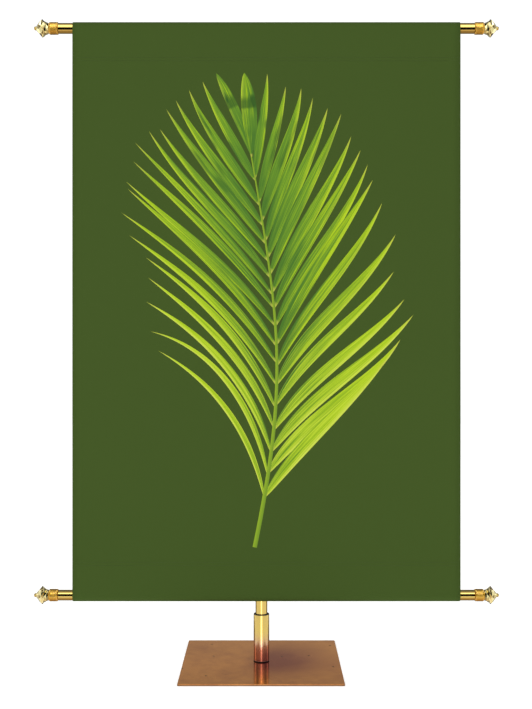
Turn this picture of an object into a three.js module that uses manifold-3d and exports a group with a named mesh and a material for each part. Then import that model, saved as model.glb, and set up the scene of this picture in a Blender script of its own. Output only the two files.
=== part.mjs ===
// A printed cloth banner hung on a small brass floor stand.
// The cloth is one upright sheet, turned back and sewn into a sleeve at its top and at its bottom.
// A rod with a ferrule and a cut finial at each end runs through either sleeve. The top rod lies in
// a hook on the pole, which reaches it through a window in the sleeve's back, and the bottom rod
// keeps the cloth straight. The pole stands in a socket tube on a square plate.
// Sizes are in millimetres. X runs across the banner, the printed side faces -Y, and Z is up.
// The origin is under the pole, in the middle of the plate's underside.
import * as THREE from "three";
import { ConvexGeometry } from "three/addons/geometries/ConvexGeometry.js";
import { mergeVertices } from "three/addons/utils/BufferGeometryUtils.js";
import Module from "manifold-3d";

const wasm = await Module();
wasm.setup();

const CLEARANCE = 0.3; // between pieces that touch

// Cloth
const CLOTH_WIDTH = 610;
const CLOTH_HEIGHT = 915; // as it hangs, over both sleeves
const CLOTH_THICKNESS = 1.2;
const CLOTH_BOTTOM_Z = 103;
const CLOTH_SHIFT_X = 8; // the cloth hangs this far to the right of the pole
const SLEEVE_DROP = 46; // from a rod's axis to the sleeve's seam
const HEM_DEPTH = 10; // the doubled cloth past the seam
const WINDOW_WIDTH = 44; // in the back of the top sleeve, for the hook
const WINDOW_LOW = 31; // its lower edge under the rod's axis
const WINDOW_HIGH = 3; // its upper edge over the rod's axis
const WINDOW_BEHIND = 3.6; // the cut starts this far behind the cloth's front

// Rods, with their ferrules and finials
const ROD_RADIUS = 8.4;
const ROD_SHOWS = 23.5; // past either side of the cloth
const FERRULE_RADIUS = 9.8;
const FERRULE_LENGTH = 14;
const FERRULE_RINGS = 6;
const RING_DEPTH = 0.5;
const RING_SLOPE = 0.25; // the share of a ring's pitch that either slope takes
const FINIAL_FACETS = 8;
const FINIAL_NECK_RADIUS = 9;
const FINIAL_RIM_RADIUS = 14.8;
const FINIAL_RIM_AT = 10.5; // along the finial, from its neck
const FINIAL_TIP_RADIUS = 3.4;
const FINIAL_TIP_AT = 20;
const KNOB_RADIUS = 3;
const KNOB_LENGTH = 3.8;
const KNOB_CHAMFER = 1;
const KNOB_ROOT = 1; // sunk into the finial

// Stand
const PLATE_SIDE = 250;
const PLATE_THICKNESS = 3;
const PLATE_CORNER = 2;
const CORNER_SIDES = 4;
const SOCKET_RADIUS = 12.5;
const SOCKET_TOP_Z = 79;
const SOCKET_CHAMFER = 1;
const POLE_RADIUS = 9.5;
const POLE_TO_CLOTH = 3;
const HOOK_THICKNESS = 2.7;
const HOOK_WIDTH = 16;
const HOOK_LIP_ANGLE = 55; // the lip's end, in degrees under the rod's axis at the front
const HOOK_ARM_DROP = 24; // the arm's underside at the pole, below the rod's axis
const CAP_RADIUS = 12.5;
const CAP_HEIGHT = 37;
const CAP_ROOF = 9;

const ROUND_SIDES = 32;
const ARC_SIDES = 16;
const OVERSHOOT = 1; // of a cut, past the face that it leaves by

// Places that follow from the sizes
const SLEEVE_INNER = ROD_RADIUS + CLEARANCE;
const SLEEVE_OUTER = SLEEVE_INNER + CLOTH_THICKNESS;
const ROD_Y = -(POLE_RADIUS + POLE_TO_CLOTH + SLEEVE_OUTER);
const FRONT_Y = ROD_Y - SLEEVE_OUTER;
const BOTTOM_ROD_Z = CLOTH_BOTTOM_Z + SLEEVE_OUTER;
const TOP_ROD_Z = CLOTH_BOTTOM_Z + CLOTH_HEIGHT - SLEEVE_OUTER;
const ROD_HALF = CLOTH_WIDTH / 2 + ROD_SHOWS;

// Materials
function finish(name, color, roughness, metalness) {
  return new THREE.MeshStandardMaterial({ name, color, roughness, metalness });
}
const printedCloth = finish("printed cloth", 0x445727, 0.85, 0);
const polishedBrass = finish("polished brass", 0xd8b65a, 0.15, 1);
const ringedBrass = finish("ringed brass", 0xc48a3c, 0.35, 1);
const cutBrass = finish("cut brass", 0xecd98c, 0.1, 1);
const brownBrass = finish("brown brass", 0x996c46, 0.25, 1);

// Solids: closed meshes that are cut or joined
function toSolid(geometry) {
  const bare = geometry.clone();
  bare.deleteAttribute("normal");
  bare.deleteAttribute("uv");
  const merged = mergeVertices(bare, 1e-3);
  return new wasm.Manifold(
    new wasm.Mesh({
      numProp: 3,
      vertProperties: merged.attributes.position.array,
      triVerts: new Uint32Array(merged.index.array),
    }),
  );
}

function toGeometry(solid) {
  const mesh = solid.getMesh();
  const geometry = new THREE.BufferGeometry();
  geometry.setAttribute("position", new THREE.BufferAttribute(mesh.vertProperties, 3));
  geometry.setIndex(new THREE.BufferAttribute(mesh.triVerts, 1));
  return geometry;
}

// Turns a geometry drawn along Z so that it runs along X, with its own X and Y on Y and Z.
function alongX(geometry) {
  const turn = new THREE.Matrix4().makeBasis(
    new THREE.Vector3(0, 1, 0),
    new THREE.Vector3(0, 0, 1),
    new THREE.Vector3(1, 0, 0),
  );
  return geometry.applyMatrix4(turn);
}

// A round turned about Z, from [radius, height] pairs that start and end on the axis.
function turned(profile, sides = ROUND_SIDES) {
  const points = profile.map(([radius, height]) => new THREE.Vector2(radius, height));
  return new THREE.LatheGeometry(points, sides).rotateX(Math.PI / 2);
}

function bar(radius, low, high) {
  return turned([
    [0, low],
    [radius, low],
    [radius, high],
    [0, high],
  ]);
}

function add(group, name, geometry, material) {
  const mesh = new THREE.Mesh(geometry, material);
  mesh.name = name;
  group.add(mesh);
  return mesh;
}

// Cloth: the sheet's section in Y and Z. A sleeve's back runs straight from the loop to the seam.
function clothSection() {
  const panelBack = ROD_Y - SLEEVE_INNER;
  const hemBack = panelBack + CLOTH_THICKNESS;
  const seamTop = TOP_ROD_Z - SLEEVE_DROP;
  const seamBottom = BOTTOM_ROD_Z + SLEEVE_DROP;
  const reach = new THREE.Vector2(hemBack - ROD_Y, -SLEEVE_DROP);
  const leaves = reach.angle() - 2 * Math.PI + Math.acos(SLEEVE_OUTER / reach.length());

  const section = new THREE.Shape();
  section.moveTo(FRONT_Y, TOP_ROD_Z);
  section.lineTo(FRONT_Y, BOTTOM_ROD_Z);
  section.absarc(ROD_Y, BOTTOM_ROD_Z, SLEEVE_OUTER, Math.PI, -leaves);
  section.lineTo(hemBack, seamBottom);
  section.lineTo(hemBack, seamBottom + HEM_DEPTH);
  section.lineTo(panelBack, seamBottom + HEM_DEPTH);
  section.lineTo(panelBack, seamTop - HEM_DEPTH);
  section.lineTo(hemBack, seamTop - HEM_DEPTH);
  section.lineTo(hemBack, seamTop);
  section.absarc(ROD_Y, TOP_ROD_Z, SLEEVE_OUTER, leaves, Math.PI);

  // The inside of the sleeve's back meets the panel at the foot of the pocket.
  const pocketFoot = (SLEEVE_INNER * (1 + Math.cos(leaves))) / Math.sin(leaves);
  for (const [rodZ, up] of [
    [TOP_ROD_Z, 1],
    [BOTTOM_ROD_Z, -1],
  ]) {
    const pocket = new THREE.Path();
    pocket.moveTo(panelBack, rodZ + up * pocketFoot);
    pocket.lineTo(panelBack, rodZ);
    pocket.absarc(ROD_Y, rodZ, SLEEVE_INNER, Math.PI, up * leaves, up > 0);
    section.holes.push(pocket);
  }
  return section;
}

function clothGeometry() {
  const sheet = alongX(
    new THREE.ExtrudeGeometry(clothSection(), {
      depth: CLOTH_WIDTH,
      bevelEnabled: false,
      curveSegments: ARC_SIDES,
    }),
  ).translate(CLOTH_SHIFT_X - CLOTH_WIDTH / 2, 0, 0);
  const depth = 2 * SLEEVE_OUTER;
  const window = new THREE.BoxGeometry(WINDOW_WIDTH, depth, WINDOW_LOW + WINDOW_HIGH).translate(
    CLOTH_SHIFT_X,
    FRONT_Y + WINDOW_BEHIND + depth / 2,
    TOP_ROD_Z + (WINDOW_HIGH - WINDOW_LOW) / 2,
  );
  return toGeometry(toSolid(sheet).subtract(toSolid(window)));
}

// Rod ends, drawn along +Z from the rod's end outwards
function ferruleGeometry() {
  const pitch = FERRULE_LENGTH / FERRULE_RINGS;
  const profile = [[0, 0]];
  for (let ring = 0; ring < FERRULE_RINGS; ring++) {
    const start = ring * pitch;
    profile.push([FERRULE_RADIUS - RING_DEPTH, start]);
    profile.push([FERRULE_RADIUS, start + RING_SLOPE * pitch]);
    profile.push([FERRULE_RADIUS, start + (1 - RING_SLOPE) * pitch]);
  }
  profile.push([FERRULE_RADIUS - RING_DEPTH, FERRULE_LENGTH], [0, FERRULE_LENGTH]);
  return turned(profile);
}

function facetRing(radius, height, turn) {
  return Array.from({ length: FINIAL_FACETS }, (_, i) => {
    const angle = ((i + turn) * 2 * Math.PI) / FINIAL_FACETS;
    return new THREE.Vector3(radius * Math.cos(angle), radius * Math.sin(angle), height);
  });
}

function finialGeometry() {
  const head = new ConvexGeometry([
    ...facetRing(FINIAL_NECK_RADIUS, 0, 0.5),
    ...facetRing(FINIAL_RIM_RADIUS, FINIAL_RIM_AT, 0),
    ...facetRing(FINIAL_TIP_RADIUS, FINIAL_TIP_AT, 0.5),
  ]);
  const end = FINIAL_TIP_AT + KNOB_LENGTH;
  const knob = turned([
    [0, FINIAL_TIP_AT - KNOB_ROOT],
    [KNOB_RADIUS, FINIAL_TIP_AT - KNOB_ROOT],
    [KNOB_RADIUS, end - KNOB_CHAMFER],
    [KNOB_RADIUS - KNOB_CHAMFER, end],
    [0, end],
  ]);
  return toGeometry(toSolid(head).add(toSolid(knob)));
}

// One rod with what is on its two ends, in a group at the rod's middle
function rodGroup(place, z) {
  const group = new THREE.Group();
  group.position.set(CLOTH_SHIFT_X, ROD_Y, z);
  add(group, place + "_rod", alongX(bar(ROD_RADIUS, -ROD_HALF, ROD_HALF)), polishedBrass);
  for (const [side, turn] of [
    ["right", Math.PI / 2],
    ["left", -Math.PI / 2],
  ]) {
    const end = new THREE.Group();
    end.rotation.y = turn;
    const ferrule = add(end, place + "_ferrule_" + side, ferruleGeometry(), ringedBrass);
    ferrule.position.z = ROD_HALF + CLEARANCE;
    const finial = add(end, place + "_finial_" + side, finialGeometry(), cutBrass);
    finial.position.z = ROD_HALF + FERRULE_LENGTH + 2 * CLEARANCE;
    group.add(end);
  }
  return group;
}

// Stand
function plateGeometry() {
  const half = PLATE_SIDE / 2;
  const straight = half - PLATE_CORNER;
  const outline = new THREE.Shape();
  outline.absarc(straight, straight, PLATE_CORNER, 0, Math.PI / 2);
  outline.absarc(-straight, straight, PLATE_CORNER, Math.PI / 2, Math.PI);
  outline.absarc(-straight, -straight, PLATE_CORNER, Math.PI, 1.5 * Math.PI);
  outline.absarc(straight, -straight, PLATE_CORNER, 1.5 * Math.PI, 2 * Math.PI);
  return new THREE.ExtrudeGeometry(outline, {
    depth: PLATE_THICKNESS,
    bevelEnabled: false,
    curveSegments: CORNER_SIDES,
  });
}

function socketGeometry() {
  const foot = PLATE_THICKNESS + CLEARANCE;
  const bore = POLE_RADIUS + CLEARANCE;
  return turned([
    [bore, foot],
    [SOCKET_RADIUS, foot],
    [SOCKET_RADIUS, SOCKET_TOP_Z - SOCKET_CHAMFER],
    [SOCKET_RADIUS - SOCKET_CHAMFER, SOCKET_TOP_Z],
    [bore, SOCKET_TOP_Z],
    [bore, foot],
  ]);
}

// The hook is a strap under the rod, carried by an arm from a cap over the pole's end.
function hookGeometry(poleTop) {
  const inner = ROD_RADIUS + CLEARANCE;
  const outer = inner + HOOK_THICKNESS;
  const lip = Math.PI + THREE.MathUtils.degToRad(HOOK_LIP_ANGLE);
  const section = new THREE.Shape();
  section.moveTo(0, TOP_ROD_Z);
  section.lineTo(0, TOP_ROD_Z - HOOK_ARM_DROP);
  section.lineTo(ROD_Y, TOP_ROD_Z - outer);
  section.absarc(ROD_Y, TOP_ROD_Z, outer, 1.5 * Math.PI, lip, true);
  section.absarc(ROD_Y, TOP_ROD_Z, inner, lip, 2 * Math.PI, false);
  const arm = alongX(
    new THREE.ExtrudeGeometry(section, {
      depth: HOOK_WIDTH,
      bevelEnabled: false,
      curveSegments: ARC_SIDES,
    }),
  ).translate(-HOOK_WIDTH / 2, 0, 0);
  const cap = bar(CAP_RADIUS, TOP_ROD_Z - CAP_HEIGHT, TOP_ROD_Z);
  const mouth = TOP_ROD_Z - CAP_HEIGHT - OVERSHOOT;
  const bore = bar(POLE_RADIUS + CLEARANCE, mouth, poleTop + CLEARANCE);
  return toGeometry(toSolid(arm).add(toSolid(cap)).subtract(toSolid(bore)));
}

function standGroup() {
  const group = new THREE.Group();
  const poleTop = TOP_ROD_Z - CAP_ROOF;
  add(group, "base_plate", plateGeometry(), brownBrass);
  add(group, "pole_socket", socketGeometry(), polishedBrass);
  add(group, "pole", bar(POLE_RADIUS, PLATE_THICKNESS + CLEARANCE, poleTop), polishedBrass);
  add(group, "rod_hook", hookGeometry(poleTop), polishedBrass);
  return group;
}

const banner = new THREE.Group();
add(banner, "banner_cloth", clothGeometry(), printedCloth);
banner.add(rodGroup("top", TOP_ROD_Z), rodGroup("bottom", BOTTOM_ROD_Z), standGroup());

export default banner;
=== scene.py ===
"""Dresses a printed cloth banner on its brass floor stand.

The cloth is laid out flat with the palm frond printed on it, then turned round both rods.
Every brass piece is turned, cut or bevelled to the place and size of its solid in the frame.
"""

import itertools
import math
import random
from typing import NamedTuple

import bmesh
import bpy
import numpy as np
from mathutils import Matrix, Vector
from mathutils.geometry import delaunay_2d_cdt


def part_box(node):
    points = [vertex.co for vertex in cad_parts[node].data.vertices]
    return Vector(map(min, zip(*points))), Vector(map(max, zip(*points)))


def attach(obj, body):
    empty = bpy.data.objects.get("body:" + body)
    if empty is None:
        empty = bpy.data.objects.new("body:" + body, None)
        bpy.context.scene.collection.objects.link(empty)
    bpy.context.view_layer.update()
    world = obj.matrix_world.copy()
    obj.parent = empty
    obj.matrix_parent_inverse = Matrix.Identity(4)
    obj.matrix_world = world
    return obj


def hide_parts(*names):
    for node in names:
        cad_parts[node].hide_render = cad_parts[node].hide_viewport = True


bl_info = {
    "name": "Banner on a Floor Stand",
    "version": (1, 0, 0),
    "blender": (4, 5, 0),
    "location": "3D Viewport > Sidebar > Banner",
    "description": "Makes a printed cloth banner with brass rods and a brass floor stand",
    "category": "Add Mesh",
}

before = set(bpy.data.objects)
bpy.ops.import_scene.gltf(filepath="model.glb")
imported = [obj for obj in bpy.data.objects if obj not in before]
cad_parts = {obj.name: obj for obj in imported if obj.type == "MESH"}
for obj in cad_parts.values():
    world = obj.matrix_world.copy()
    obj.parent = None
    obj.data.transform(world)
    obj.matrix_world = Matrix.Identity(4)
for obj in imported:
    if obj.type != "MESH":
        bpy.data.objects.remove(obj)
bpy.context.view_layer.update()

MM = 0.001
BODY = "root"
ENDS = ("left", "right")
PLACES = ("top", "bottom")


def middle(node):
    low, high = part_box(node)
    return (low + high) / 2


def size(node):
    low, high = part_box(node)
    return high - low


def tone(red, green, blue):
    """A colour given as it looks on a screen, from 0 to 255, as the linear values of a shader."""
    shares = (c / 255 for c in (red, green, blue))
    return tuple(c / 12.92 if c <= 0.04045 else ((c + 0.055) / 1.055) ** 2.4 for c in shares)


def scaled(colour, by):
    return tuple(by * c for c in colour)


def length_property(name, description, default):
    return bpy.props.FloatProperty(
        name=name, description=description, default=default, min=0, subtype="DISTANCE", unit="LENGTH"
    )


def colour_property(name, description, default):
    return bpy.props.FloatVectorProperty(
        name=name, description=description, default=default, size=3, min=0, max=1, subtype="COLOR"
    )


def share_property(name, description, default):
    return bpy.props.FloatProperty(name=name, description=description, default=default, min=0, max=1)


class BannerCloth(bpy.types.PropertyGroup):
    """Sizes and colours of the cloth"""

    thickness: length_property("Thickness", "Of the cloth", 0.6 * MM)
    layer_gap: length_property("Layer Gap", "Between the middles of two sewn layers", 1.0 * MM)
    sleeve_drop: length_property("Sleeve Drop", "From a rod's middle to the sleeve's seam", 46 * MM)
    hem_depth: length_property("Hem Depth", "Doubled cloth past the seam", 10 * MM)
    ripple: length_property("Ripple", "How far the hanging cloth bows in and out", 0.6 * MM)
    yarn: length_property("Yarn", "From one yarn of the weave to the next", 0.4 * MM)
    stitch: length_property("Stitch", "From one stitch of a seam to the next", 3.2 * MM)
    ground: colour_property("Ground", "The printed ground", tone(66, 86, 36))
    thread: colour_property("Thread", "The seams' thread", tone(64, 84, 36))
    show_through: share_property("Show Through", "How much of the print shows on the back", 0.4)


class BannerFrond(bpy.types.PropertyGroup):
    """The printed palm frond"""

    seed: bpy.props.IntProperty(name="Seed", description="Of the leaflets' small differences", default=11)
    shade: colour_property("Shade", "Bands across the top blades", tone(58, 94, 38))
    deep: colour_property("Deep Green", "Where a leaflet leaves the stem", tone(76, 118, 44))
    middle: colour_property("Middle Green", "The upper leaflets", tone(112, 154, 44))
    bright: colour_property("Yellow Green", "Edges and outer halves", tone(176, 206, 30))
    pale: colour_property("Pale Green", "The lowest leaflets", tone(208, 220, 88))
    dry: colour_property("Dry Tips", "The leaflets' tips", tone(198, 192, 84))
    stem: colour_property("Stem", "The frond's stem", tone(142, 172, 46))
    node: colour_property("Node", "Where leaflets meet the stem", tone(196, 196, 84))


class BannerBrass(bpy.types.PropertyGroup):
    """Colours and gloss of the brass pieces"""

    polished: colour_property("Polished", "Rods, pole and socket", tone(240, 206, 102))
    knurled: colour_property("Knurled", "The ferrules", tone(255, 200, 66))
    cut: colour_property("Cut", "The finials", tone(254, 238, 162))
    brown: colour_property("Brown", "The base plate", tone(205, 140, 80))
    # Painted reflection: the base plate's purple-brown as reflected on the socket's foot, painted into
    # the brass colour
    plate_reflection: colour_property("Toned", "The foot of the socket tube", tone(222, 140, 170))
    # Darker mottling across the base plate, darker still beside the socket
    dark_mottle: colour_property("Stain", "Darker clouds on the base plate", tone(122, 46, 52))
    # Real dirt in the plate's specks, and painted shade in the socket's rings and on the plate's sides
    dirt_and_shade: colour_property("Dirt", "In the seams and specks", tone(34, 30, 24))
    gloss: share_property("Roughness", "Of the rods; the other pieces follow it", 0.1)
    lacquer: share_property("Lacquer", "Clear coat on the brass", 1.0)


class BannerStudio(bpy.types.PropertyGroup):
    """Camera and light"""

    distance: length_property("Camera Distance", "From the lens to the cloth's front", 1.713)
    height: length_property("Camera Height", "Of the lens above the floor", 0.493)
    aside: length_property("Camera Aside", "Of the lens to the right of the pole", 7.3 * MM)
    lens: bpy.props.FloatProperty(
        name="Lens", description="Focal length", default=55.37, min=1, unit="CAMERA"
    )
    floor: length_property("Floor", "Side of the floor", 12.0)


def chosen(part):
    """The settings of the cloth, frond, brass or studio."""
    return getattr(bpy.context.scene, "banner_" + part)


# Shader graphs


class Wire:
    """A socket's value, so that shader maths reads as Python."""

    def __init__(self, graph, socket):
        self.graph = graph
        self.socket = socket

    def math(self, operation, *others):
        return self.graph.math(operation, self, *others)

    def __add__(self, other):
        return self.math("ADD", other)

    def __sub__(self, other):
        return self.math("SUBTRACT", other)

    def __rsub__(self, other):
        return self.graph.math("SUBTRACT", other, self)

    def __mul__(self, other):
        return self.math("MULTIPLY", other)

    __radd__ = __add__
    __rmul__ = __mul__

    def within(self, start, full, fade, end):
        """1 from full to fade, and falling to 0 at start and end."""
        return self.rise(start, full) * (1 - self.rise(fade, end))

    def rise(self, low, high):
        """0 below low, 1 above high, and smooth between them."""
        inputs = {"Value": self, "From Min": low, "From Max": high}
        return self.graph.made("MapRange", {"interpolation_type": "SMOOTHSTEP"}, inputs, "Result")


class Graph:
    """Makes the nodes of one material or world."""

    def __init__(self, owner):
        owner.use_nodes = True
        self.owner = owner
        self.tree = owner.node_tree
        self.tree.nodes.clear()

    def socket(self, sockets, key):
        if isinstance(key, int):
            return sockets[key]
        return next(s for s in sockets if key in (s.identifier, s.name))

    def node(self, kind, settings, inputs):
        """A node of that kind, with its settings made and its sockets fed."""
        made = self.tree.nodes.new("ShaderNode" + kind)
        for key, value in settings.items():
            setattr(made, key, value)
        for key, value in inputs.items():
            socket = self.socket(made.inputs, key)
            if isinstance(value, Wire):
                self.tree.links.new(value.socket, socket)
            elif socket.type == "RGBA":
                socket.default_value = (*value, 1.0)
            else:
                socket.default_value = value
        return made

    def made(self, kind, settings, inputs, output):
        node = self.node(kind, settings, inputs)
        return Wire(self, self.socket(node.outputs, output))

    def math(self, operation, *values):
        return self.made("Math", {"operation": operation}, dict(enumerate(values)), "Value")

    def mix(self, share, first, second):
        """From the first colour to the second; a share under 0 or over 1 counts as 0 or 1."""
        inputs = {"Factor_Float": share, "A_Color": first, "B_Color": second}
        return self.made("Mix", {"data_type": "RGBA"}, inputs, "Result_Color")

    def ramp(self, angle, stops):
        """The level at an angle from -90 to 90 degrees, by stops of an angle and its level."""
        node = self.node("ValToRGB", {}, {"Fac": angle * (1 / 180) + 0.5})
        elements = node.color_ramp.elements
        elements.remove(elements[1])
        most = max(level for _, level in stops)
        for index, (at, level) in enumerate(stops):
            element = elements.new((at + 90) / 180) if index else elements[0]
            element.color = (level / most, level / most, level / most, 1.0)
        return Wire(self, node.outputs["Color"]) * most

    def place(self, kind):
        return self.made("TexCoord", {}, {}, kind)

    def map(self, name):
        return self.made("UVMap", {"uv_map": name}, {}, "UV")

    def parts(self, vector):
        node = self.node("SeparateXYZ", {}, {"Vector": vector})
        return [Wire(self, node.outputs[axis]) for axis in "XYZ"]

    def vector(self, x, y, z):
        return self.made("CombineXYZ", {}, {"X": x, "Y": y, "Z": z}, "Vector")

    def noise(self, place, scale, detail=2.0, roughness=0.5):
        inputs = {"Vector": place, "Scale": scale, "Detail": detail, "Roughness": roughness}
        return self.made("TexNoise", {}, inputs, "Fac")

    def bump(self, height, strength, distance):
        inputs = {"Strength": strength, "Distance": distance, "Height": height}
        return self.made("Bump", {}, inputs, "Normal")

    def surface(self, inputs, shader="BsdfPrincipled", end="OutputMaterial"):
        """Ends the graph in a shader with those inputs; gives the material or world."""
        self.node(end, {}, {"Surface": self.made(shader, {}, inputs, 0)})
        return self.owner


# Materials of the cloth

LEAF_MAP = "leaf"  # along a leaflet from 0 to 1, and across it from -1 to 1; along is -1 off the frond
FROND_MAP = "frond"  # how high on the frond a leaflet stands, from 0 to 1, and its own shade
FLAT_MAP = "flat"  # across and up the flat cloth, in metres
STEM_SHADE = 2.0  # marks the stem; a leaflet's own shade is under 1
VEINS = 6.0  # streaks across half a leaflet
WEAVE_DEPTH = 0.05 * MM
PLY_PITCH = 0.35 * MM  # from one turn of the thread's twist to the next


def frond_colour(graph):
    """The print's colour on the frond, and where the frond is."""
    frond = chosen("frond")
    along, across, _ = graph.parts(graph.map(LEAF_MAP))
    height, shade, _ = graph.parts(graph.map(FROND_MAP))
    inside = along.math("GREATER_THAN", -0.5)
    on_stem = shade.math("GREATER_THAN", STEM_SHADE - 0.5)
    at_top = height.math("GREATER_THAN", 0.99)

    streaks = graph.noise(graph.vector(along * 2.2, across * VEINS, shade * 40), 1.0, 3.0, 0.65) - 0.5
    patches = graph.noise(graph.vector(along * 3.2, across * 0.6, shade * 90), 1.0, 1.0)
    low_leaf = 1 - height.rise(0.1, 0.55)
    lower_edge = 1 - across.rise(-1.0, -0.1)
    upper_edge = across.rise(0.5, 1.0)
    outer = along.rise(0.25, 0.95)
    yellow = outer * 0.55 + lower_edge * 0.65 + streaks * 3.4 - 0.3
    yellow = yellow + (1 - height.rise(-0.15, 1.05)) * 1.1
    foot = (1 - along.rise(0.0, 0.6)) * (0.25 + across.rise(-0.5, 0.6) * 0.5)
    deep = foot + patches.rise(0.5, 0.75) * height * 0.6 - streaks * 2.4 + height * 0.16
    deep = deep + upper_edge * 0.3 - low_leaf * 0.5 + at_top * 0.3
    pale = low_leaf * (lower_edge * 0.7 + 0.1) + lower_edge * outer * 0.25 + streaks * low_leaf * 2.5
    band = along.within(0.56, 0.6, 0.66, 0.76) * at_top * 0.75
    band = band + patches.rise(0.6, 0.68) * height.rise(0.6, 0.95) * along.rise(0.3, 0.45) * 0.5
    layers = (
        (yellow, frond.bright),
        (deep, frond.deep),
        (pale, frond.pale),
        (along.rise(0.88, 1.0) * (1 - at_top) * 0.6, frond.dry),
        (band, frond.shade),
        ((1 - along.rise(0.015, 0.04)) * (1 - on_stem) * 0.7, frond.node),
        (on_stem, graph.mix(across.rise(-1.0, 1.0) * 0.45, frond.stem, frond.deep)),
    )
    colour = frond.middle
    for share, tint in layers:
        colour = graph.mix(share, colour, tint)
    return colour, inside


def cloth_material(name, print_share):
    """The woven cloth with its print: print_share is how much of the print this side shows."""
    graph = Graph(bpy.data.materials.new(name))
    cloth = chosen("cloth")
    colour, inside = frond_colour(graph)
    flat = graph.map(FLAT_MAP)
    across, up, _ = graph.parts(flat)
    clouds = graph.noise(flat, 9.0, 2.0)
    slub = graph.noise(graph.vector(across * 40, up * 900, 0.0), 1.0, 2.0)
    ground = graph.mix(clouds * 0.07, cloth.ground, scaled(cloth.ground, 0.7))
    ground = graph.mix(slub * 0.12, ground, scaled(cloth.ground, 1.25))
    turn = 2 * math.pi / cloth.yarn
    weave = (across * (turn / 2)).math("SINE") * (up * (turn / 2)).math("SINE")
    warp = (across * turn).math("SINE") * 0.5
    height = weave + warp + (slub - 0.5) * 2.0
    look = {
        "Base Color": graph.mix(inside * print_share, ground, colour),
        "Roughness": 0.85 + (slub - 0.5) * 0.1,
        "Specular IOR Level": 0.08,
        "Normal": graph.bump(height, 0.25, WEAVE_DEPTH),
    }
    return graph.surface(look)


def thread_material():
    graph = Graph(bpy.data.materials.new("sewing thread"))
    x, _, z = graph.parts(graph.place("Object"))
    ply = ((x + z * 2) * (2 * math.pi / PLY_PITCH)).math("SINE")
    thread = chosen("cloth").thread
    look = {
        "Base Color": graph.mix((ply * 0.5 + 0.5) * 0.3, thread, scaled(thread, 0.6)),
        "Roughness": 0.6,
        "Normal": graph.bump(ply, 0.3, WEAVE_DEPTH),
    }
    return graph.surface(look)


# Materials of the brass

RUB_DEPTH = 0.05 * MM
WARMER = (0.92, 0.8, 0.7)  # what the clouds leave of red, green and blue


def brass_material(name, finish, dullness=1.0, wear=1.0, seams=(), plate_reflection=()):
    """Lacquered brass with fine rubbing marks.

    finish names one of the brass colours, and dullness multiplies the roughness. seams are (height, half
    width) of rings of painted shade round a post, where it meets the pieces next to it, and the last
    argument gives the heights over which a painted reflection of the base plate, a red tone on the post's
    foot, ends.
    """
    graph = Graph(bpy.data.materials.new(name))
    brass = chosen("brass")
    place = graph.place("Object")
    height = graph.parts(place)[2]
    clouds = graph.noise(place, 14.0, 3.0)
    rubs = graph.noise(place, 900.0, 2.0)
    colour = getattr(brass, finish)
    warm = tuple(c * k for c, k in zip(colour, WARMER))
    shown = graph.mix(clouds.rise(0.4, 0.75) * 0.35 * wear, colour, warm)
    level = brass.gloss * dullness + (clouds - 0.5) * 0.05 + (rubs - 0.5) * 0.06 * wear
    metal = 1.0
    coat = brass.lacquer
    # Painted reflection: the base plate's colour reflected on the socket's foot, painted into its colour
    if plate_reflection:
        shown = graph.mix((1 - height.rise(*plate_reflection)) * 0.7, shown, brass.plate_reflection)
    # Painted shade: dark rings where the pole enters the socket and where the socket stands on the plate
    if seams:
        dirt_and_shade = 0.0
        for at, half in seams:
            ring = 1 - (height - at).math("ABSOLUTE").rise(half * 0.6, half)
            dirt_and_shade = graph.math("MAXIMUM", dirt_and_shade, ring)
        shown = graph.mix(dirt_and_shade, shown, brass.dirt_and_shade)
        level = level + dirt_and_shade * 0.4
        metal = 1 - dirt_and_shade * 0.85
        coat = (1 - dirt_and_shade) * coat
    look = {
        "Base Color": shown,
        "Metallic": metal,
        "Roughness": level.math("MAXIMUM", 0.03),
        "Coat Weight": coat,
        "Coat IOR": 1.6,
        "Coat Roughness": 0.05,
        "Normal": graph.bump(rubs, 0.04 * wear, RUB_DEPTH),
    }
    return graph.surface(look)


DARK_PATCH_PLACE = (26 * MM, 12 * MM)  # right of the pole and behind it
DARK_PATCH_REACH = 125 * MM
DARK_PATCH_WANDER = 80 * MM  # how uneven its edge is
DARK_PATCH_START = (-45 * MM, 15 * MM)  # across the plate, where it sets in
SPECK_CELLS = 26.0  # to the metre
SPECK_SIZE = (0.035, 0.055)  # from its dark middle to its edge, of a cell
SPECK_FREE = 0.78  # share of the cells that have no speck
PAINTED_PLATE_SIDES = (0.9 * MM, 0.4 * MM)  # below the plate's face, where painted shade darkens its sides


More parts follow.
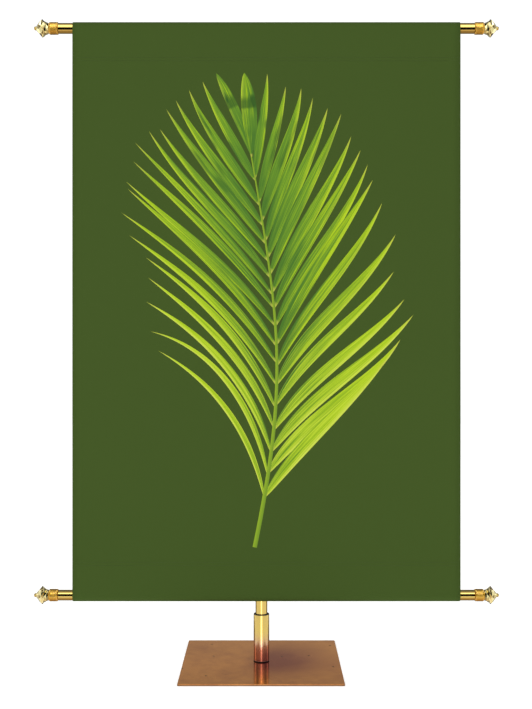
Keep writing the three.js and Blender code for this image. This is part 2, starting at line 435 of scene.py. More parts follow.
def plate_material():
    """Brown brass, darker beside the socket, with fine scratches, a few dark specks and painted shade on
    its sides.
    """
    graph = Graph(bpy.data.materials.new("brown brass"))
    brass = chosen("brass")
    place = graph.place("Object")
    x, y, z = graph.parts(place)
    clouds = graph.noise(place, 6.0, 3.0)
    fine = graph.noise(place, 45.0, 6.0, 0.7)
    aside = x - DARK_PATCH_PLACE[0]
    back = y - DARK_PATCH_PLACE[1]
    apart = (aside * aside + back * back).math("SQRT") + (fine - 0.5) * DARK_PATCH_WANDER
    # Darker beside the socket, with darker mottling across the whole plate
    beside_socket = (1 - apart.rise(0.0, DARK_PATCH_REACH)) * x.rise(*DARK_PATCH_START)
    dark_mottle = beside_socket * 1.05 + (clouds - 0.5) * 1.2 + (fine - 0.5) * 1.1 + 0.1
    colour = graph.mix(dark_mottle, brass.brown, brass.dark_mottle)
    inputs = {"Vector": place, "Scale": SPECK_CELLS}
    cells = graph.node("TexVoronoi", {"voronoi_dimensions": "2D"}, inputs)
    far, pick = (Wire(graph, cells.outputs[name]) for name in ("Distance", "Color"))
    picked = graph.parts(pick)[0].math("GREATER_THAN", SPECK_FREE)
    speck = (1 - far.rise(*SPECK_SIZE)) * picked
    colour = graph.mix(speck * 0.95, colour, brass.dirt_and_shade)
    # Painted shade: the plate's sides darkened below its top face
    rim = 1 - z.rise(*(size("base_plate").z - depth for depth in PAINTED_PLATE_SIDES))
    colour = graph.mix(rim * 0.6, colour, brass.dirt_and_shade)
    grain = graph.noise(graph.vector(x * 60, y * 1400, z * 60), 1.0, 2.0)
    look = {
        "Base Color": colour,
        "Specular Tint": (1.0, 0.8, 0.6),
        "Specular IOR Level": 0.15,
        "Metallic": 0.8 - speck * 0.5,
        "Roughness": 0.13 + (clouds - 0.5) * 0.08 + (grain - 0.5) * 0.06 + speck * 0.4,
        "Normal": graph.bump(grain + speck * -6.0, 0.06, RUB_DEPTH),
    }
    return graph.surface(look)


# Making pieces

SHARP = math.radians(32)
ROUND_STEPS = 96


def linked_object(name, data):
    made = bpy.data.objects.new(name, data)
    bpy.context.scene.collection.objects.link(made)
    return made


def add_object(name, mesh, materials):
    """Makes the bmesh an object of the scene."""
    data = bpy.data.meshes.new(name)
    mesh.to_mesh(data)
    mesh.free()
    for material in materials:
        data.materials.append(material)
    return linked_object(name, data)


def finish_piece(name, mesh, materials, node=None, sharp=SHARP, flat_over=math.inf):
    """Makes a piece of the root body, smooth but for its sharp edges and its faces over that area."""
    piece = add_object(name, mesh, materials)
    piece.data.set_sharp_from_angle(angle=sharp)
    for face in piece.data.polygons:
        face.use_smooth = face.area < flat_over
    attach(piece, BODY)
    if node:
        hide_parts(node)
    return piece


def turned(profile, steps):
    """A round spun about Z from (radius, height) points."""
    mesh = bmesh.new()
    points = [mesh.verts.new((radius, 0.0, height)) for radius, height in profile]
    edges = [mesh.edges.new(pair) for pair in zip(points, points[1:])]
    geom = points + edges
    bmesh.ops.spin(mesh, geom=geom, axis=(0, 0, 1), angle=2 * math.pi, steps=steps, use_merge=True)
    bmesh.ops.remove_doubles(mesh, verts=mesh.verts, dist=1e-6)
    bmesh.ops.recalc_face_normals(mesh, faces=mesh.faces)
    return mesh


def place_mesh(mesh, matrix):
    bmesh.ops.transform(mesh, matrix=matrix, verts=mesh.verts)


def ease_edges(piece, width, segments, degrees):
    """Bevels the edges that turn by more than those degrees."""
    edges = piece.modifiers.new("Eased edges", "BEVEL")
    edges.width = width
    edges.segments = segments
    edges.limit_method = "ANGLE"
    edges.angle_limit = math.radians(degrees)
    return edges


def bar(radius, low, high, chamfer):
    """A round bar along Z with chamfered ends."""
    face = radius - chamfer
    profile = [(0.0, low), (face, low), (radius, low + chamfer)]
    profile += [(radius, high - chamfer), (face, high), (0.0, high)]
    return turned(profile, ROUND_STEPS)


def rod_ends(kind):
    """The nodes of that kind at the rods' ends, each with its side."""
    return [(f"{place}_{kind}_{side}", side) for place in PLACES for side in ENDS]


def rounded_foot(radius, ease, count):
    """The rounded edge from a turned piece's lower face out to its wall."""
    turns = np.linspace(0, math.pi / 2, count)
    return [(radius - ease * (1 - math.sin(a)), ease * (1 - math.cos(a))) for a in turns]


def end_matrix(node, side):
    """Takes a piece drawn up +Z from its inner face to the place of that node on a rod's end."""
    low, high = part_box(node)
    inner, way = (low.x, 1) if side == "right" else (high.x, -1)
    centre = middle(node)
    return Matrix.Translation((inner, centre.y, centre.z)) @ Matrix.Rotation(way * math.pi / 2, 4, "Y")


# The cloth, laid out flat


class Layout(NamedTuple):
    """How the flat cloth runs round the rods: a length up the cloth for each point of its section."""

    lengths: np.ndarray
    section: np.ndarray
    panel_start: float
    bottom_z: float
    top_z: float


ARC_STEPS = 26
STRAIGHT_STEPS = 5


def cloth_layout():
    cloth = chosen("cloth")
    rod = middle("bottom_rod")
    top_rod = middle("top_rod")
    radius = size("banner_cloth").y / 2 - cloth.thickness
    hem_y = cloth.layer_gap - radius
    reach = math.hypot(hem_y, cloth.sleeve_drop)
    leaves = math.atan2(cloth.sleeve_drop, hem_y) - math.acos(radius / reach)
    turns = np.linspace(leaves, -math.pi, ARC_STEPS)
    arc = np.stack([radius * np.cos(turns), radius * np.sin(turns)], 1)
    seam = np.array([hem_y, cloth.sleeve_drop])
    straight = np.linspace(seam, arc[0], STRAIGHT_STEPS, endpoint=False)
    bottom = np.concatenate([[seam + (0, cloth.hem_depth)], straight, arc])
    top = (bottom * (1, -1))[::-1]
    section = np.concatenate([bottom + (rod.y, rod.z), top + (rod.y, top_rod.z)])
    steps = np.linalg.norm(np.diff(section, axis=0), axis=1)
    lengths = np.concatenate([[0.0], np.cumsum(steps)])
    return Layout(lengths, section, lengths[len(bottom) - 1], rod.z, top_rod.z)


def length_at(layout, z):
    """The length up the flat cloth of a height on its front."""
    return layout.panel_start + z - layout.bottom_z


def back_length_at(layout, z):
    """The length up the flat cloth of a height on the back of the top sleeve."""
    crown = int(np.argmax(layout.section[:, 1]))
    heights = layout.section[crown:, 1]
    return float(np.interp(-z, -heights, layout.lengths[crown:]))


def hang(layout, x, length):
    """Where a point of the flat cloth hangs."""
    y, z = (float(np.interp(length, layout.lengths, column)) for column in layout.section.T)
    return Vector((x, y + bow(layout, x, z), z))


def bow(layout, x, z):
    """How far the cloth bows at a point, nothing at the rods."""
    share = (z - layout.bottom_z) / (layout.top_z - layout.bottom_z)
    fall = math.sin(math.pi * min(max(share, 0.0), 1.0))
    slow = math.sin(x * 15 + 0.8) * math.cos(2.1 * share)
    quick = 0.4 * math.sin(x * 37 + 5 * share)
    return chosen("cloth").ripple * fall * (slow + quick)


# The frond, in metres from the middle of the cloth's lower edge


class Blade(NamedTuple):
    """A leaflet or the stem: a middle line with its half widths above and below."""

    line: np.ndarray
    above: np.ndarray
    below: np.ndarray
    height: float
    shade: float


class Station(NamedTuple):
    """Leaflets at one height of a side; those between follow the stations next to them."""

    height: float  # up the stem, from 0 at the foot to 1 at its top
    length: float  # mm
    lean: float  # of the straight line from foot to tip, in degrees from upright
    foot: float  # the lean where it leaves the stem
    tip: float  # the lean where it ends
    width: float  # mm


RIGHT_SIDE = (
    Station(0.105, 294, 41.5, 35, 37, 21),
    Station(0.20, 306, 44.5, 33, 39, 20.5),
    Station(0.34, 288, 42, 30, 36, 19),
    Station(0.44, 308, 34, 26, 31, 18.5),
    Station(0.60, 300, 28.5, 23, 25, 17.5),
    Station(0.74, 268, 22.5, 19, 16, 18.5),
    Station(0.88, 205, 14.5, 13, 9, 17.5),
    Station(0.955, 164, 7, 7, 4, 14.5),
)
LEFT_SIDE = (
    Station(0.105, 278, 35.5, 11, 62, 9),
    Station(0.15, 290, 39, 10, 76, 10),
    Station(0.24, 312, 38, 17, 60, 11.5),
    Station(0.40, 332, 44, 29, 54, 12),
    Station(0.60, 340, 45, 37, 50, 11),
    Station(0.74, 284, 39.5, 38, 34, 14.5),
    Station(0.86, 230, 34.5, 36, 27, 17),
    Station(0.95, 180, 28, 31, 24, 15.5),
)
SIDE_COUNT = 17
OPEN_MIDDLE = 0.05  # leaflets stand farther apart below the middle and closer above it
STEM = ((-18.5, 87), (36, 350), (21, 440), (-23.5, 701))  # mm, the foot, two guides and the top
STEM_WIDTH = (6.8, 2.2)  # mm, at the foot and at the top
TOP_BLADES = (Station(1.0, 142, 23, 17, 28, 16), Station(1.0, 132, 5, 3, 8, 24))
TOP_WIDEST = (0.56, 0.56)
TOP_SHAPE = 0.9
LEAN_CHANCE = (2.2, 0.8)  # degrees either way, at the foot and at the top
TIP_CHANCE = 5  # degrees either way
HEIGHT_CHANCE = 0.005
LENGTH_CHANCE = (0.965, 1.03)
WIDTH_CHANCE = (0.9, 1.1)
LINE_POINTS = 34
STEM_POINTS = 400
GUIDE_SHARE = 0.36  # of a leaflet's length, from either end to its guide
UNEVEN = 0.1  # more of a leaflet's width above its middle line, and less below it
FOOT_SHARE = 0.10  # of a leaflet's width at its foot


def curve(points, count):
    """Points on a cubic curve with those four guides."""
    t = np.linspace(0, 1, count)[:, None]
    a, b, c, d = (np.array(p, float) for p in points)
    return a * (1 - t) ** 3 + 3 * b * t * (1 - t) ** 2 + 3 * c * t**2 * (1 - t) + d * t**3


def heading(lean, side):
    turn = math.radians(lean)
    return np.array([side * math.sin(turn), math.cos(turn)])


def spread(widest, shape):
    """A leaflet's width along it, from its foot to its tip, as shares of the most."""
    t = np.linspace(0, 1, LINE_POINTS)
    fall = shape * (1 - widest) / widest
    body = (t / widest) ** shape * ((1 - t) / (1 - widest)) ** fall
    return np.maximum(body, FOOT_SHARE * (1 - t) ** 2)


def leaflet(foot, station, side, shade, widest=(0.34, 0.44), shape=0.62):
    """A leaflet that is widest at those shares of its length, above and below its middle line."""
    length = station.length * MM
    tip = foot + length * heading(station.lean, side)
    guides = (
        foot,
        foot + GUIDE_SHARE * length * heading(station.foot, side),
        tip - GUIDE_SHARE * length * heading(station.tip, side),
        tip,
    )
    half = station.width * MM / 2
    above = half * (1 + UNEVEN) * spread(widest[0], shape)
    below = half * (1 - UNEVEN) * spread(widest[1], shape)
    return Blade(curve(guides, LINE_POINTS), above, below, station.height, shade)


def at_height(stations, height):
    heights = [s.height for s in stations]
    return Station(*(float(np.interp(height, heights, column)) for column in zip(*stations)))


def side_leaflets(stem, stations, side, chance):
    """One side's leaflets, with small differences from the stations' even run."""
    blades = []
    first, last = stations[0].height, stations[-1].height
    for even in np.linspace(0, 1, SIDE_COUNT):
        share = even + OPEN_MIDDLE * math.sin(math.pi * even) ** 2
        aside = chance.uniform(-HEIGHT_CHANCE, HEIGHT_CHANCE) * (0 < even < 1)
        height = first + (last - first) * share + aside
        lean = chance.uniform(-1.0, 1.0) * (LEAN_CHANCE[0] * (1 - height) + LEAN_CHANCE[1] * height)
        run = at_height(stations, height)
        station = Station(
            run.height,
            run.length * chance.uniform(*LENGTH_CHANCE),
            run.lean + lean,
            run.foot + lean,
            run.tip + lean + chance.uniform(-TIP_CHANCE, TIP_CHANCE),
            run.width * chance.uniform(*WIDTH_CHANCE),
        )
        foot = stem[int(round(height * (len(stem) - 1)))]
        blades.append(leaflet(foot, station, side, chance.random()))
    return blades


def frond_blades():
    """The frond's blades from the hindmost to the foremost."""
    chance = random.Random(chosen("frond").seed)
    stem = curve(STEM, STEM_POINTS) * MM
    left = side_leaflets(stem, LEFT_SIDE, -1, chance)
    right = side_leaflets(stem, RIGHT_SIDE, 1, chance)
    top = [leaflet(stem[-1], s, -1, chance.random(), TOP_WIDEST, TOP_SHAPE) for s in TOP_BLADES]
    half = np.linspace(STEM_WIDTH[0], STEM_WIDTH[1], LINE_POINTS) * MM / 2
    post = Blade(curve(STEM, LINE_POINTS) * MM, half, half, 0.0, STEM_SHADE)
    return [*top, *reversed(left), *reversed(right), post]


def sides(line):
    """Unit steps to the left of a line, one at each of its points."""
    along = np.gradient(line, axis=0)
    along /= np.linalg.norm(along, axis=1)[:, None]
    return np.stack([-along[:, 1], along[:, 0]], 1)


def upper_sign(blade):
    """1 where the left of a blade's line is its upper side."""
    return 1.0 if blade.line[-1][0] >= blade.line[0][0] else -1.0


def outline(blade):
    """A blade's edge as a counter-clockwise ring."""
    sign = upper_sign(blade)
    step = sides(blade.line) * sign
    upper = blade.line + step * blade.above[:, None]
    lower = blade.line - step * blade.below[:, None]
    return np.concatenate([upper, lower[::-1]])[:: int(-sign)]


def place_on(blade, point):
    """How far along and across a blade a point lies."""
    starts, steps = blade.line[:-1], np.diff(blade.line, axis=0)
    shares = np.clip(((point - starts) * steps).sum(1) / (steps**2).sum(1), 0.0, 1.0)
    gaps = point - starts - shares[:, None] * steps
    nearest = int(np.argmin((gaps**2).sum(1)))
    gap, step = gaps[nearest], steps[nearest]
    turn = step[0] * gap[1] - step[1] * gap[0]
    offset = math.copysign(math.hypot(*gap), turn) * upper_sign(blade)
    at = nearest + shares[nearest]
    widths = blade.above if offset > 0 else blade.below
    half = np.interp(at, range(len(widths)), widths)
    return at / len(steps), min(max(offset / max(half, 0.1 * MM), -1.0), 1.0)


PANEL_STEP = 15 * MM
WINDOW_HALF = 22 * MM  # of its width
WINDOW_REACH = (-31 * MM, 3 * MM)  # from the rod's middle to its lower and upper edge


def window_corners(layout):
    """The window in the back of the top sleeve, through which the hook reaches the rod."""
    centre = middle("banner_cloth").x
    left, right = centre - WINDOW_HALF, centre + WINDOW_HALF
    last, first = (back_length_at(layout, layout.top_z + reach) for reach in WINDOW_REACH)
    return [(left, first), (right, first), (right, last), (left, last)]


def flat_cloth(layout, blades):
    """The flat cloth's points and triangles, with the number of the blade that each triangle lies in."""
    low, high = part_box("banner_cloth")
    hole = window_corners(layout)
    columns = round((high.x - low.x) / PANEL_STEP)
    xs = np.union1d(np.linspace(low.x, high.x, columns + 1), [hole[0][0], hole[1][0]])
    panel = np.arange(layout.panel_start, length_at(layout, layout.top_z), PANEL_STEP)
    rows = np.unique(np.round(np.concatenate([layout.lengths, panel[1:]]), 7))
    points = [(x, length) for length in rows for x in xs]
    lift = np.array([middle("banner_cloth").x, length_at(layout, low.z)])
    edges, faces = [], []

    def add(places):
        points.extend(map(tuple, places))
        return list(range(len(points) - len(places), len(points)))

    for blade in blades:
        line = add(blade.line + lift)
        edges.extend(zip(line, line[1:]))
        faces.append(add(outline(blade) + lift))
    faces.append(add(hole))
    found = delaunay_2d_cdt([Vector(p) for p in points], edges, faces, 0, 1e-6)
    triangles, owners = found[2], found[5]
    window = len(faces) - 1
    kept = [(t, max(o, default=-1)) for t, o in zip(triangles, owners) if window not in o]
    return found[0], kept, lift


class BANNER_OT_cloth(bpy.types.Operator):
    """Lays the cloth out flat with its print, and hangs it round both rods"""

    bl_idname = "banner.cloth"
    bl_label = "Make Cloth"

    def execute(self, context):
        cloth = chosen("cloth")
        layout = cloth_layout()
        blades = frond_blades()
        points, triangles, lift = flat_cloth(layout, blades)
        mesh = bmesh.new()
        flat_map, leaf_map, frond_map = map(mesh.loops.layers.uv.new, (FLAT_MAP, LEAF_MAP, FROND_MAP))
        verts = [mesh.verts.new(hang(layout, p.x, p.y)) for p in points]
        for numbers, owner in triangles:
            face = mesh.faces.new([verts[n] for n in numbers])
            for loop, number in zip(face.loops, numbers):
                flat = points[number]
                loop[flat_map].uv = flat
                loop[leaf_map].uv = (-1.0, 0.0)
                if owner >= 0:
                    blade = blades[owner]
                    loop[leaf_map].uv = place_on(blade, np.array(flat) - lift)
                    loop[frond_map].uv = (blade.height, blade.shade)
        bmesh.ops.delete(mesh, geom=[v for v in mesh.verts if not v.link_faces], context="VERTS")
        front = cloth_material("printed cloth", 1.0)
        back = cloth_material("back of the cloth", cloth.show_through)
        piece = finish_piece("hung_cloth", mesh, [front, back], "banner_cloth")
        wall = piece.modifiers.new("Thickness", "SOLIDIFY")
        wall.thickness = cloth.thickness
        wall.offset = 0.0
        wall.material_offset = 1
        flat = (size("banner_cloth").x, float(layout.lengths[-1]))
        return {"FINISHED"}


STITCH_ROWS = (2.5 * MM, 7.5 * MM)  # past the seam, into the hem
SEAM_END = 2 * MM  # without stitches
THREAD_RADIUS = 0.17 * MM
THREAD_PROUD = 0.3 * THREAD_RADIUS  # of a stitch's middle line above the cloth
STITCH_SHARE = 0.8  # of the pitch that shows on the cloth


def stitch_places():
    """The middle of each stitch, on both sides of both hems."""
    cloth = chosen("cloth")
    layout = cloth_layout()
    low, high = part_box("banner_cloth")
    count = int((high.x - low.x - 2 * SEAM_END) / cloth.stitch)
    start = (low.x + high.x - (count - 1) * cloth.stitch) / 2
    front_y = layout.section[len(layout.section) // 2, 0]
    skin = cloth.thickness / 2 + THREAD_PROUD
    faces = (front_y - skin, front_y + cloth.layer_gap + skin)
    seams = ((layout.bottom_z, 1), (layout.top_z, -1))
    for (rod_z, up), row, y, index in itertools.product(seams, STITCH_ROWS, faces, range(count)):
        x = start + index * cloth.stitch
        z = rod_z + up * (cloth.sleeve_drop + row)
        yield Vector((x, y + bow(layout, x, z), z))


class BANNER_OT_stitches(bpy.types.Operator):
    """Sews the two sleeves' hems with rows of small stitches that show on both sides"""

    bl_idname = "banner.stitches"
    bl_label = "Sew Stitches"

    def execute(self, context):
        half = STITCH_SHARE * chosen("cloth").stitch / 2
        stretch = Matrix.Diagonal((half, THREAD_RADIUS, THREAD_RADIUS, 1.0))
        pattern = bmesh.new()
        bmesh.ops.create_uvsphere(pattern, u_segments=6, v_segments=4, radius=1.0, matrix=stretch)
        mesh = bmesh.new()
        for place in stitch_places():
            points = [mesh.verts.new(v.co + place) for v in pattern.verts]
            for face in pattern.faces:
                mesh.faces.new([points[v.index] for v in face.verts])
        pattern.free()
        finish_piece("seam_stitches", mesh, [thread_material()], sharp=math.pi)
        return {"FINISHED"}


ROD_CHAMFER = 0.5 * MM


class BANNER_OT_rods(bpy.types.Operator):
    """Turns the two rods that run through the sleeves"""

    bl_idname = "banner.rods"
    bl_label = "Make Rods"

    def execute(self, context):
        material = brass_material("polished brass rod", "polished", wear=0.3)
        for place in PLACES:
            node = place + "_rod"
            box = size(node)
            mesh = bar(box.z / 2, -box.x / 2, box.x / 2, ROD_CHAMFER)
            place_mesh(mesh, Matrix.Translation(middle(node)) @ Matrix.Rotation(math.pi / 2, 4, "Y"))
            finish_piece(node + "_tube", mesh, [material], node)
        return {"FINISHED"}


KNURL_ROUND = 34  # ridges round a ferrule
KNURL_STEPS = 136
KNURL_ROWS = 30
KNURL_DEPTH = 0.45 * MM
FERRULE_EDGE = 1.5 * MM  # the plain rounded lip at either end


def ferrule_mesh(radius, length):
    """A barrel with rounded lips and a knurled middle."""
    edge = FERRULE_EDGE
    lip = rounded_foot(radius, edge, 6)
    rows = np.linspace(edge, length - edge, KNURL_ROWS)[1:-1]
    profile = [(0.0, 0.0), *lip, *((radius, float(z)) for z in rows)]
    profile += [(r, length - z) for r, z in reversed(lip)] + [(0.0, length)]
    mesh = turned(profile, KNURL_STEPS)
    pitch = 2 * math.pi * radius / KNURL_ROUND
    for point in mesh.verts:
        if edge * 1.05 < point.co.z < length - edge * 1.05:
            turn = math.atan2(point.co.y, point.co.x) * KNURL_ROUND
            rise = 2 * math.pi * (point.co.z - length / 2) / pitch
            dip = 0.5 - 0.25 * (math.cos(turn + rise) + math.cos(turn - rise))
            shrink = 1 - KNURL_DEPTH * dip / radius
            point.co.x *= shrink
            point.co.y *= shrink
    return mesh


class BANNER_OT_ferrules(bpy.types.Operator):
    """Makes the knurled ferrule on each end of both rods"""

    bl_idname = "banner.ferrules"
    bl_label = "Make Ferrules"

    def execute(self, context):
        material = brass_material("knurled brass", "knurled", 3.0)
        for node, side in rod_ends("ferrule"):
            box = size(node)
            mesh = ferrule_mesh(box.z / 2, box.x)
            place_mesh(mesh, end_matrix(node, side))
            finish_piece(node + "_knurled", mesh, [material], node)
        return {"FINISHED"}


FACETS = 8
# Radius and height in mm, of a finial's rings of corners and of its knob
FINIAL = ((8.2, 0.0), (9.4, 3.4), (11.2, 6.9), (12.2, 8.2), (14.8, 10.5), (9.9, 15.0), (3.5, 20.2))
KNOB = ((0.0, 19.0), (3.0, 19.0), (3.0, 22.4), (2.6, 23.2), (1.6, 23.8), (0.0, 23.8))
KNOB_STEPS = 40


def finial_mesh():
    """A cut head: rings of corners, each half a facet on from the last, with flat facets between."""
    mesh = bmesh.new()
    loops = []
    for number, (radius, height) in enumerate(FINIAL):
        turn = Matrix.Rotation(math.pi * (number % 2) / FACETS, 4, "Z")
        lift = Matrix.Translation((0, 0, height * MM))
        made = bmesh.ops.create_circle(mesh, radius=radius * MM, segments=FACETS, matrix=lift @ turn)
        loops.append(made["verts"])
    for number, (lower, upper) in enumerate(zip(loops, loops[1:])):
        for index in range(FACETS):
            after = (index + 1) % FACETS
            start, tip = (index, after) if number % 2 else (after, index)
            mesh.faces.new((lower[index], lower[after], upper[tip]))
            mesh.faces.new((lower[start], upper[after], upper[index]))
    mesh.faces.new(list(reversed(loops[0])))
    mesh.faces.new(loops[-1])
    bmesh.ops.recalc_face_normals(mesh, faces=mesh.faces)
    return mesh


class BANNER_OT_finials(bpy.types.Operator):
    """Cuts the faceted finials and turns their knobs"""

    bl_idname = "banner.finials"
    bl_label = "Make Finials"

    def execute(self, context):
        material = brass_material("cut brass", "cut", 0.6, wear=0.5)
        knob_material = brass_material("turned brass knob", "polished", 2.0)
        for node, side in rod_ends("finial"):
            place = end_matrix(node, side)
            head = finial_mesh()
            place_mesh(head, place)
            sharp = math.radians(3)
            piece = finish_piece(node + "_head", head, [material], node, sharp)
            ease_edges(piece, 0.18 * MM, segments=2, degrees=4)
            knob = turned([(r * MM, z * MM) for r, z in KNOB], KNOB_STEPS)
            place_mesh(knob, place)
            finish_piece(node + "_knob", knob, [knob_material])
        return {"FINISHED"}


PLATE_CORNER = 2 * MM
PLATE_EASE = 0.6 * MM
FLAT_FACE = 1.5e-4  # square metres, over which a face of the plate is shaded flat


def rise_of(edge):
    return abs(edge.verts[0].co.z - edge.verts[1].co.z)


def bevel(mesh, edges, width, segments):
    shape = {"offset_type": "OFFSET", "profile": 0.5, "affect": "EDGES", "material": -1}
    bmesh.ops.bevel(mesh, geom=edges, offset=width, segments=segments, **shape)


class BANNER_OT_plate(bpy.types.Operator):
    """Makes the square base plate with its rounded corners and eased edges"""

    bl_idname = "banner.plate"
    bl_label = "Make Base Plate"

    def execute(self, context):
        box = size("base_plate")
        mesh = bmesh.new()
        place = Matrix.Translation(middle("base_plate")) @ Matrix.Diagonal((*box, 1.0))
        bmesh.ops.create_cube(mesh, size=1.0, matrix=place)
        bevel(mesh, [e for e in mesh.edges if rise_of(e) > box.z / 2], PLATE_CORNER, 6)
        level = [e for e in mesh.edges if rise_of(e) < 1e-6]
        bevel(mesh, [e for e in level if e.calc_face_angle(0.0) > math.radians(60)], PLATE_EASE, 3)
        made = [plate_material()]
        finish_piece("base_plate_eased", mesh, made, "base_plate", flat_over=FLAT_FACE)
        return {"FINISHED"}


POLE_CHAMFER = 0.6 * MM
POLE_GAP = 0.3 * MM
RIM_EASE = 1.3 * MM  # of the socket's rim
FOOT_EASE = 0.4 * MM
SHADE_RINGS = (2.0 * MM, 1.9 * MM)  # half the height of the rings of painted shade at the socket's rim and foot
RIM_SHADE_RING = 0.2 * MM  # from the rim up to the middle of its ring
PLATE_REFLECTION_SPAN = (12 * MM, 52 * MM)  # above the foot, over which the painted reflection of the plate, a red tone, ends


class BANNER_OT_pole(bpy.types.Operator):
    """Turns the pole and the socket tube that it stands in"""

    bl_idname = "banner.pole"
    bl_label = "Make Pole and Socket"

    def execute(self, context):
        low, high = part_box("pole")
        radius = (high.x - low.x) / 2
        material = brass_material("polished brass pole", "polished")
        mesh = bar(radius, low.z, high.z, POLE_CHAMFER)
        finish_piece("pole_tube", mesh, [material], "pole")

        foot, top = (corner.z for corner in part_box("pole_socket"))
        outer = size("pole_socket").x / 2
        bore = radius + POLE_GAP
        profile = [(bore, foot), (outer - FOOT_EASE, foot), (outer, foot + FOOT_EASE)]
        profile += [(r, top - z) for r, z in reversed(rounded_foot(outer, RIM_EASE, 7))]
        profile += [(bore, top), (bore, foot)]
        # Rings of painted shade at the socket's rim and foot
        rings = ((top + RIM_SHADE_RING, SHADE_RINGS[0]), (foot, SHADE_RINGS[1]))
        # Heights over which the painted reflection of the plate on the socket's foot ends
        plate_reflection = [foot + height for height in PLATE_REFLECTION_SPAN]
        material = brass_material("polished brass socket", "polished", 1.7, 0.6, rings, plate_reflection)
        mesh = turned(profile, ROUND_STEPS)
        finish_piece("socket_tube", mesh, [material], "pole_socket")
        return {"FINISHED"}


class BANNER_OT_hook(bpy.types.Operator):
    """Eases the edges of the cap and hook that carry the top rod"""

    bl_idname = "banner.hook"
    bl_label = "Make Rod Hook"

    def execute(self, context):
        mesh = bmesh.new()
        mesh.from_mesh(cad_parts["rod_hook"].data)
        bmesh.ops.remove_doubles(mesh, verts=mesh.verts, dist=1e-5)
        level = math.radians(1)
        bmesh.ops.dissolve_limit(mesh, angle_limit=level, verts=mesh.verts, edges=mesh.edges)
        material = brass_material("satin brass hook", "polished", 2.4, wear=1.4)
        piece = finish_piece("rod_hook_eased", mesh, [material], "rod_hook")
        edges = ease_edges(piece, 0.5 * MM, segments=3, degrees=35)
        edges.harden_normals = True
        return {"FINISHED"}


# Stage

# Levels that polished brass sees, as (elevation in degrees, level) pairs
FRONT_LIGHT = (
    (-90, 0.42), (-80, 0.44), (-65, 0.5), (-44, 0.78), (-20, 0.82), (-8, 0.85), (0, 0.6), (8, 0.4),
    (20, 0.4), (25, 1.3), (30, 2.4), (48, 2.2), (57, 1.1), (66, 0.8), (78, 0.6), (90, 0.4),
)
BACK_LIGHT = (
    (-90, 0.42), (-70, 0.25), (-45, 0.2), (-13, 0.24), (4, 0.34), (13, 0.54), (18, 0.42), (28, 0.12),
    (70, 0.1), (82, 0.2), (90, 0.4),
)
TURN_TO_BACK = (112, 140)  # degrees from the line towards the camera


class Panel(NamedTuple):
    """A patch of the room round the stand, by the angles at which it begins, is full, fades and ends."""

    azimuth: tuple  # degrees to either side of the line towards the camera
    elevation: tuple  # degrees
    level: float = 1.0


STRIPS = (
    Panel((-2, -1, 9, 18), (-16.8, -16.0, 22, 30), 0.7),
    Panel((-2, -1, 3, 7), (-16.8, -16.0, 22, 30), 1.5),
)
SCREENS = (
    Panel((34, 40, 84, 90), (17, 21, 91, 92)),
    Panel((34, 40, 58, 68), (-92, -91, -38, -28), 0.7),
)
SIDES = (
    Panel((102, 118, 140, 155), (-20, -18.5, -11.5, -10)),
    Panel((102, 118, 140, 155), (11, 12.5, 17, 18.5)),
)
WINGS = (
    Panel((93, 98, 102, 107), (2, 10, 24, 32)),
    Panel((104, 110, 130, 136), (-10, -8.5, 9.5, 11), 0.6),
)
SIDE_SHADE = 0.75
PALE_FLOOR = 0.95
MATT_LEVEL = 0.77  # of the world on surfaces that aren't polished
EYE_LEVEL = 1.1  # of the world behind the stand
WARM_LIGHT = (1.0, 0.75, 0.54)


def studio_world():
    """White to the eye and to matt surfaces, a room of light and dark panels to polished ones."""
    graph = Graph(bpy.data.worlds.new("studio"))
    x, y, z = graph.parts(graph.place("Generated"))
    elevation = z.math("ARCSINE") * (180 / math.pi)
    azimuth = x.math("ARCTAN2", y * -1.0).math("ABSOLUTE") * (180 / math.pi)
    front, back = (graph.ramp(elevation, stops) for stops in (FRONT_LIGHT, BACK_LIGHT))
    strips, screens, sides, wings = (
        sum(azimuth.within(*p.azimuth) * elevation.within(*p.elevation) * p.level for p in panels)
        for panels in (STRIPS, SCREENS, SIDES, WINGS)
    )
    behind = azimuth.rise(*TURN_TO_BACK)
    shine = front * (1 - behind) + back * behind + strips
    beside = x.math("ABSOLUTE").rise(0.3, 0.55) * (1 - elevation.rise(-30, -18))
    shine = shine * (1 - beside) + beside * PALE_FLOOR
    shine = shine * (1 - screens) * (1 - sides * SIDE_SHADE) + wings
    rays = graph.node("LightPath", {}, {}).outputs
    glossy, seen = (Wire(graph, rays[name]) for name in ("Is Glossy Ray", "Is Camera Ray"))
    strength = glossy * shine + (1 - glossy) * (MATT_LEVEL + seen * (EYE_LEVEL - MATT_LEVEL))
    warm = glossy * (1 - elevation.rise(-68, -24) + sides)
    colour = graph.mix(warm, (1.0, 1.0, 1.0), WARM_LIGHT)
    return graph.surface({"Color": colour, "Strength": strength}, "Background", "OutputWorld")


def floor_material():
    look = {
        "Base Color": (0.9, 0.9, 0.9),
        "Roughness": 0.9,
        "Specular IOR Level": 0.0,
        "Emission Color": (1.0, 1.0, 1.0),
        "Emission Strength": 0.5,
    }
    return Graph(bpy.data.materials.new("white floor")).surface(look)


LIGHT_AIM = Vector((0, 0, 0.5))
LIGHT_SIDE = 2.0


def soft_light(name, place, power):
    data = bpy.data.lights.new(name, "AREA")
    data.size = LIGHT_SIDE
    data.energy = power
    light = linked_object(name, data)
    light.location = place
    light.rotation_euler = (LIGHT_AIM - Vector(place)).to_track_quat("-Z", "Y").to_euler()
    light.visible_glossy = False


CARD_GAP = 120 * MM
CARD_REACH = (-25.5, 22.5)  # degrees from the line towards the camera
CARD_WIDTH = 120 * MM


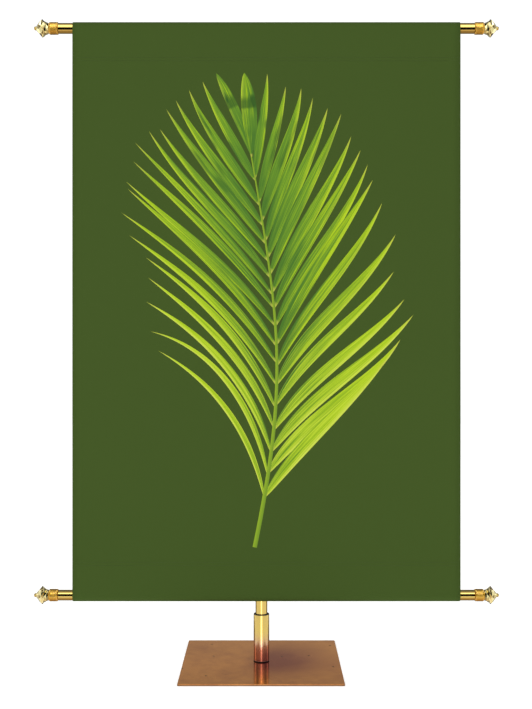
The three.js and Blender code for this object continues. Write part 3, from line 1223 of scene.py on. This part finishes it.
def dark_card(name, place, card_size, material):
    """An upright card that only shows as a reflection."""
    mesh = bmesh.new()
    upright = Matrix.Translation(place) @ Matrix.Rotation(math.pi / 2, 4, "X")
    stretched = upright @ Matrix.Diagonal((*card_size, 1, 1))
    bmesh.ops.create_grid(mesh, x_segments=1, y_segments=1, size=0.5, matrix=stretched)
    card = add_object(name, mesh, [material])
    card.visible_camera = card.visible_diffuse = card.visible_shadow = False


def rod_cards(camera):
    """Dark cards before the rods' ends, for the dark line along a rod's middle."""
    look = {"Base Color": (0.004, 0.004, 0.004), "Roughness": 1.0, "Specular IOR Level": 0.0}
    material = Graph(bpy.data.materials.new("dark card")).surface(look)
    for place in PLACES:
        rod = middle(place + "_rod")
        rise = math.atan2(camera.z - rod.z, rod.y - camera.y)
        low, high = (CARD_GAP * math.tan(rise + math.radians(reach)) for reach in CARD_REACH)
        for side in ENDS:
            ferrule = middle(f"{place}_ferrule_{side}")
            aside = (camera.x - ferrule.x) / (ferrule.y - camera.y) * CARD_GAP
            centre = Vector((ferrule.x + aside, rod.y - CARD_GAP, rod.z + (low + high) / 2))
            dark_card(f"card_{place}_{side}", centre, (CARD_WIDTH, high - low), material)


class BANNER_OT_stage(bpy.types.Operator):
    """Sets the floor, the light and the camera"""

    bl_idname = "banner.stage"
    bl_label = "Set Stage"

    def execute(self, context):
        studio = chosen("studio")
        scene = context.scene
        mesh = bmesh.new()
        bmesh.ops.create_grid(mesh, x_segments=1, y_segments=1, size=studio.floor / 2)
        floor = add_object("floor", mesh, [floor_material()])
        floor.visible_glossy = False

        scene.world = studio_world()
        scene.view_settings.view_transform = "Standard"
        soft_light("key light", (-1.6, -2.4, 2.4), 12)
        soft_light("back light", (1.4, 2.2, 2.2), 8)

        lens = bpy.data.cameras.new("camera")
        lens.lens = studio.lens
        lens.sensor_fit = "VERTICAL"
        lens.sensor_height = 36.0
        camera = linked_object("camera", lens)
        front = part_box("banner_cloth")[0].y
        camera.location = (studio.aside, front - studio.distance, studio.height)
        camera.rotation_euler = (math.pi / 2, 0, 0)
        scene.camera = camera
        rod_cards(camera.location)
        return {"FINISHED"}


class BANNER_PT_sidebar(bpy.types.Panel):
    """The banner's operators and settings"""

    bl_idname = "BANNER_PT_sidebar"
    bl_label = "Banner"
    bl_space_type = "VIEW_3D"
    bl_region_type = "UI"
    bl_category = "Banner"

    def draw(self, context):
        layout = self.layout
        for operator in OPERATORS:
            layout.operator(operator.bl_idname)
        for name, group in SETTINGS.items():
            box = layout.box()
            box.label(text=group.__doc__)
            for field in group.__annotations__:
                box.prop(getattr(context.scene, name), field)


SETTINGS = {
    "banner_cloth": BannerCloth,
    "banner_frond": BannerFrond,
    "banner_brass": BannerBrass,
    "banner_studio": BannerStudio,
}
OPERATORS = (
    BANNER_OT_stage,
    BANNER_OT_cloth,
    BANNER_OT_stitches,
    BANNER_OT_rods,
    BANNER_OT_ferrules,
    BANNER_OT_finials,
    BANNER_OT_plate,
    BANNER_OT_pole,
    BANNER_OT_hook,
)


def register():
    for name, group in SETTINGS.items():
        bpy.utils.register_class(group)
        setattr(bpy.types.Scene, name, bpy.props.PointerProperty(type=group))
    for cls in (*OPERATORS, BANNER_PT_sidebar):
        bpy.utils.register_class(cls)


def unregister():
    for cls in reversed((*OPERATORS, BANNER_PT_sidebar)):
        bpy.utils.unregister_class(cls)
    for name, group in reversed(SETTINGS.items()):
        delattr(bpy.types.Scene, name)
        bpy.utils.unregister_class(group)


def main():
    register()
    for operator in OPERATORS:
        group, name = operator.bl_idname.split(".")
        getattr(getattr(bpy.ops, group), name)()


if __name__ == "__main__":
    main()
